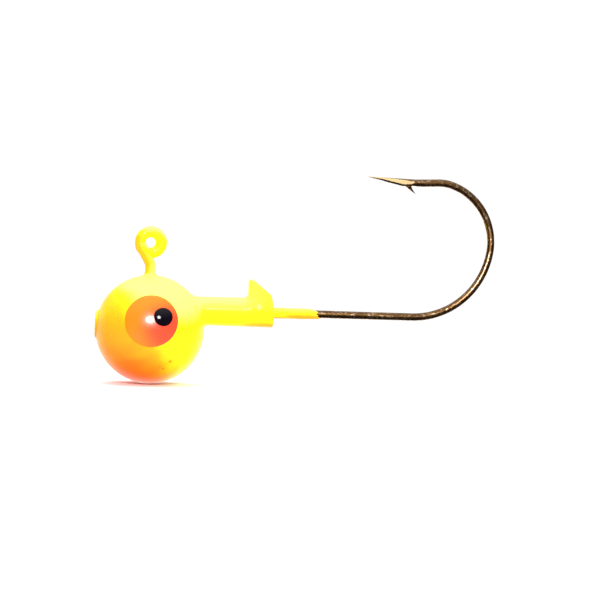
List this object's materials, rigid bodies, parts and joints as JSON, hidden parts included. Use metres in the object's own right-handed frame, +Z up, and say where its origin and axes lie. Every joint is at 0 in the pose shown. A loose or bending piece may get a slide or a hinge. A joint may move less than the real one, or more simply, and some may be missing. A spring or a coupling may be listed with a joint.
{
  "type": "jig head",
  "caption": "Round painted lead jig head with a bait-keeper collar and an eye spot on each side, cast on a light-wire hook whose upturned leg ends in the line-tie ring.",
  "frame": {"origin": "centre of the line-tie hole", "axes": "+X back along the shank towards the hook's bend, +Z up from the shank towards the point and the line tie, Y across the hook, which lies in the plane Y = 0"},
  "size_m": [0.0388, 0.0106, 0.0206],
  "materials": {
    "bronzed_wire": "carbon steel wire under bronze lacquer, bright where the point is ground",
    "lead": null,
    "yellow_paint": "fluorescent chartreuse powder paint, glossy",
    "orange_paint": "fluorescent orange sprayed over the yellow with a soft edge",
    "iris_paint": "glossy orange-red disc with a crisp edge",
    "pupil_paint": "raised drop of gloss black"
  },
  "bodies": {
    "root": {"jig_hook": "bronzed_wire", "lead_head": "lead", "yellow_coat": "yellow_paint", "line_tie_coat": "yellow_paint", "shank_coat": "yellow_paint", "orange_coat": "orange_paint", "iris_left": "iris_paint", "iris_right": "iris_paint", "pupil_left": "pupil_paint", "pupil_right": "pupil_paint"}
  },
  "joints": []
}
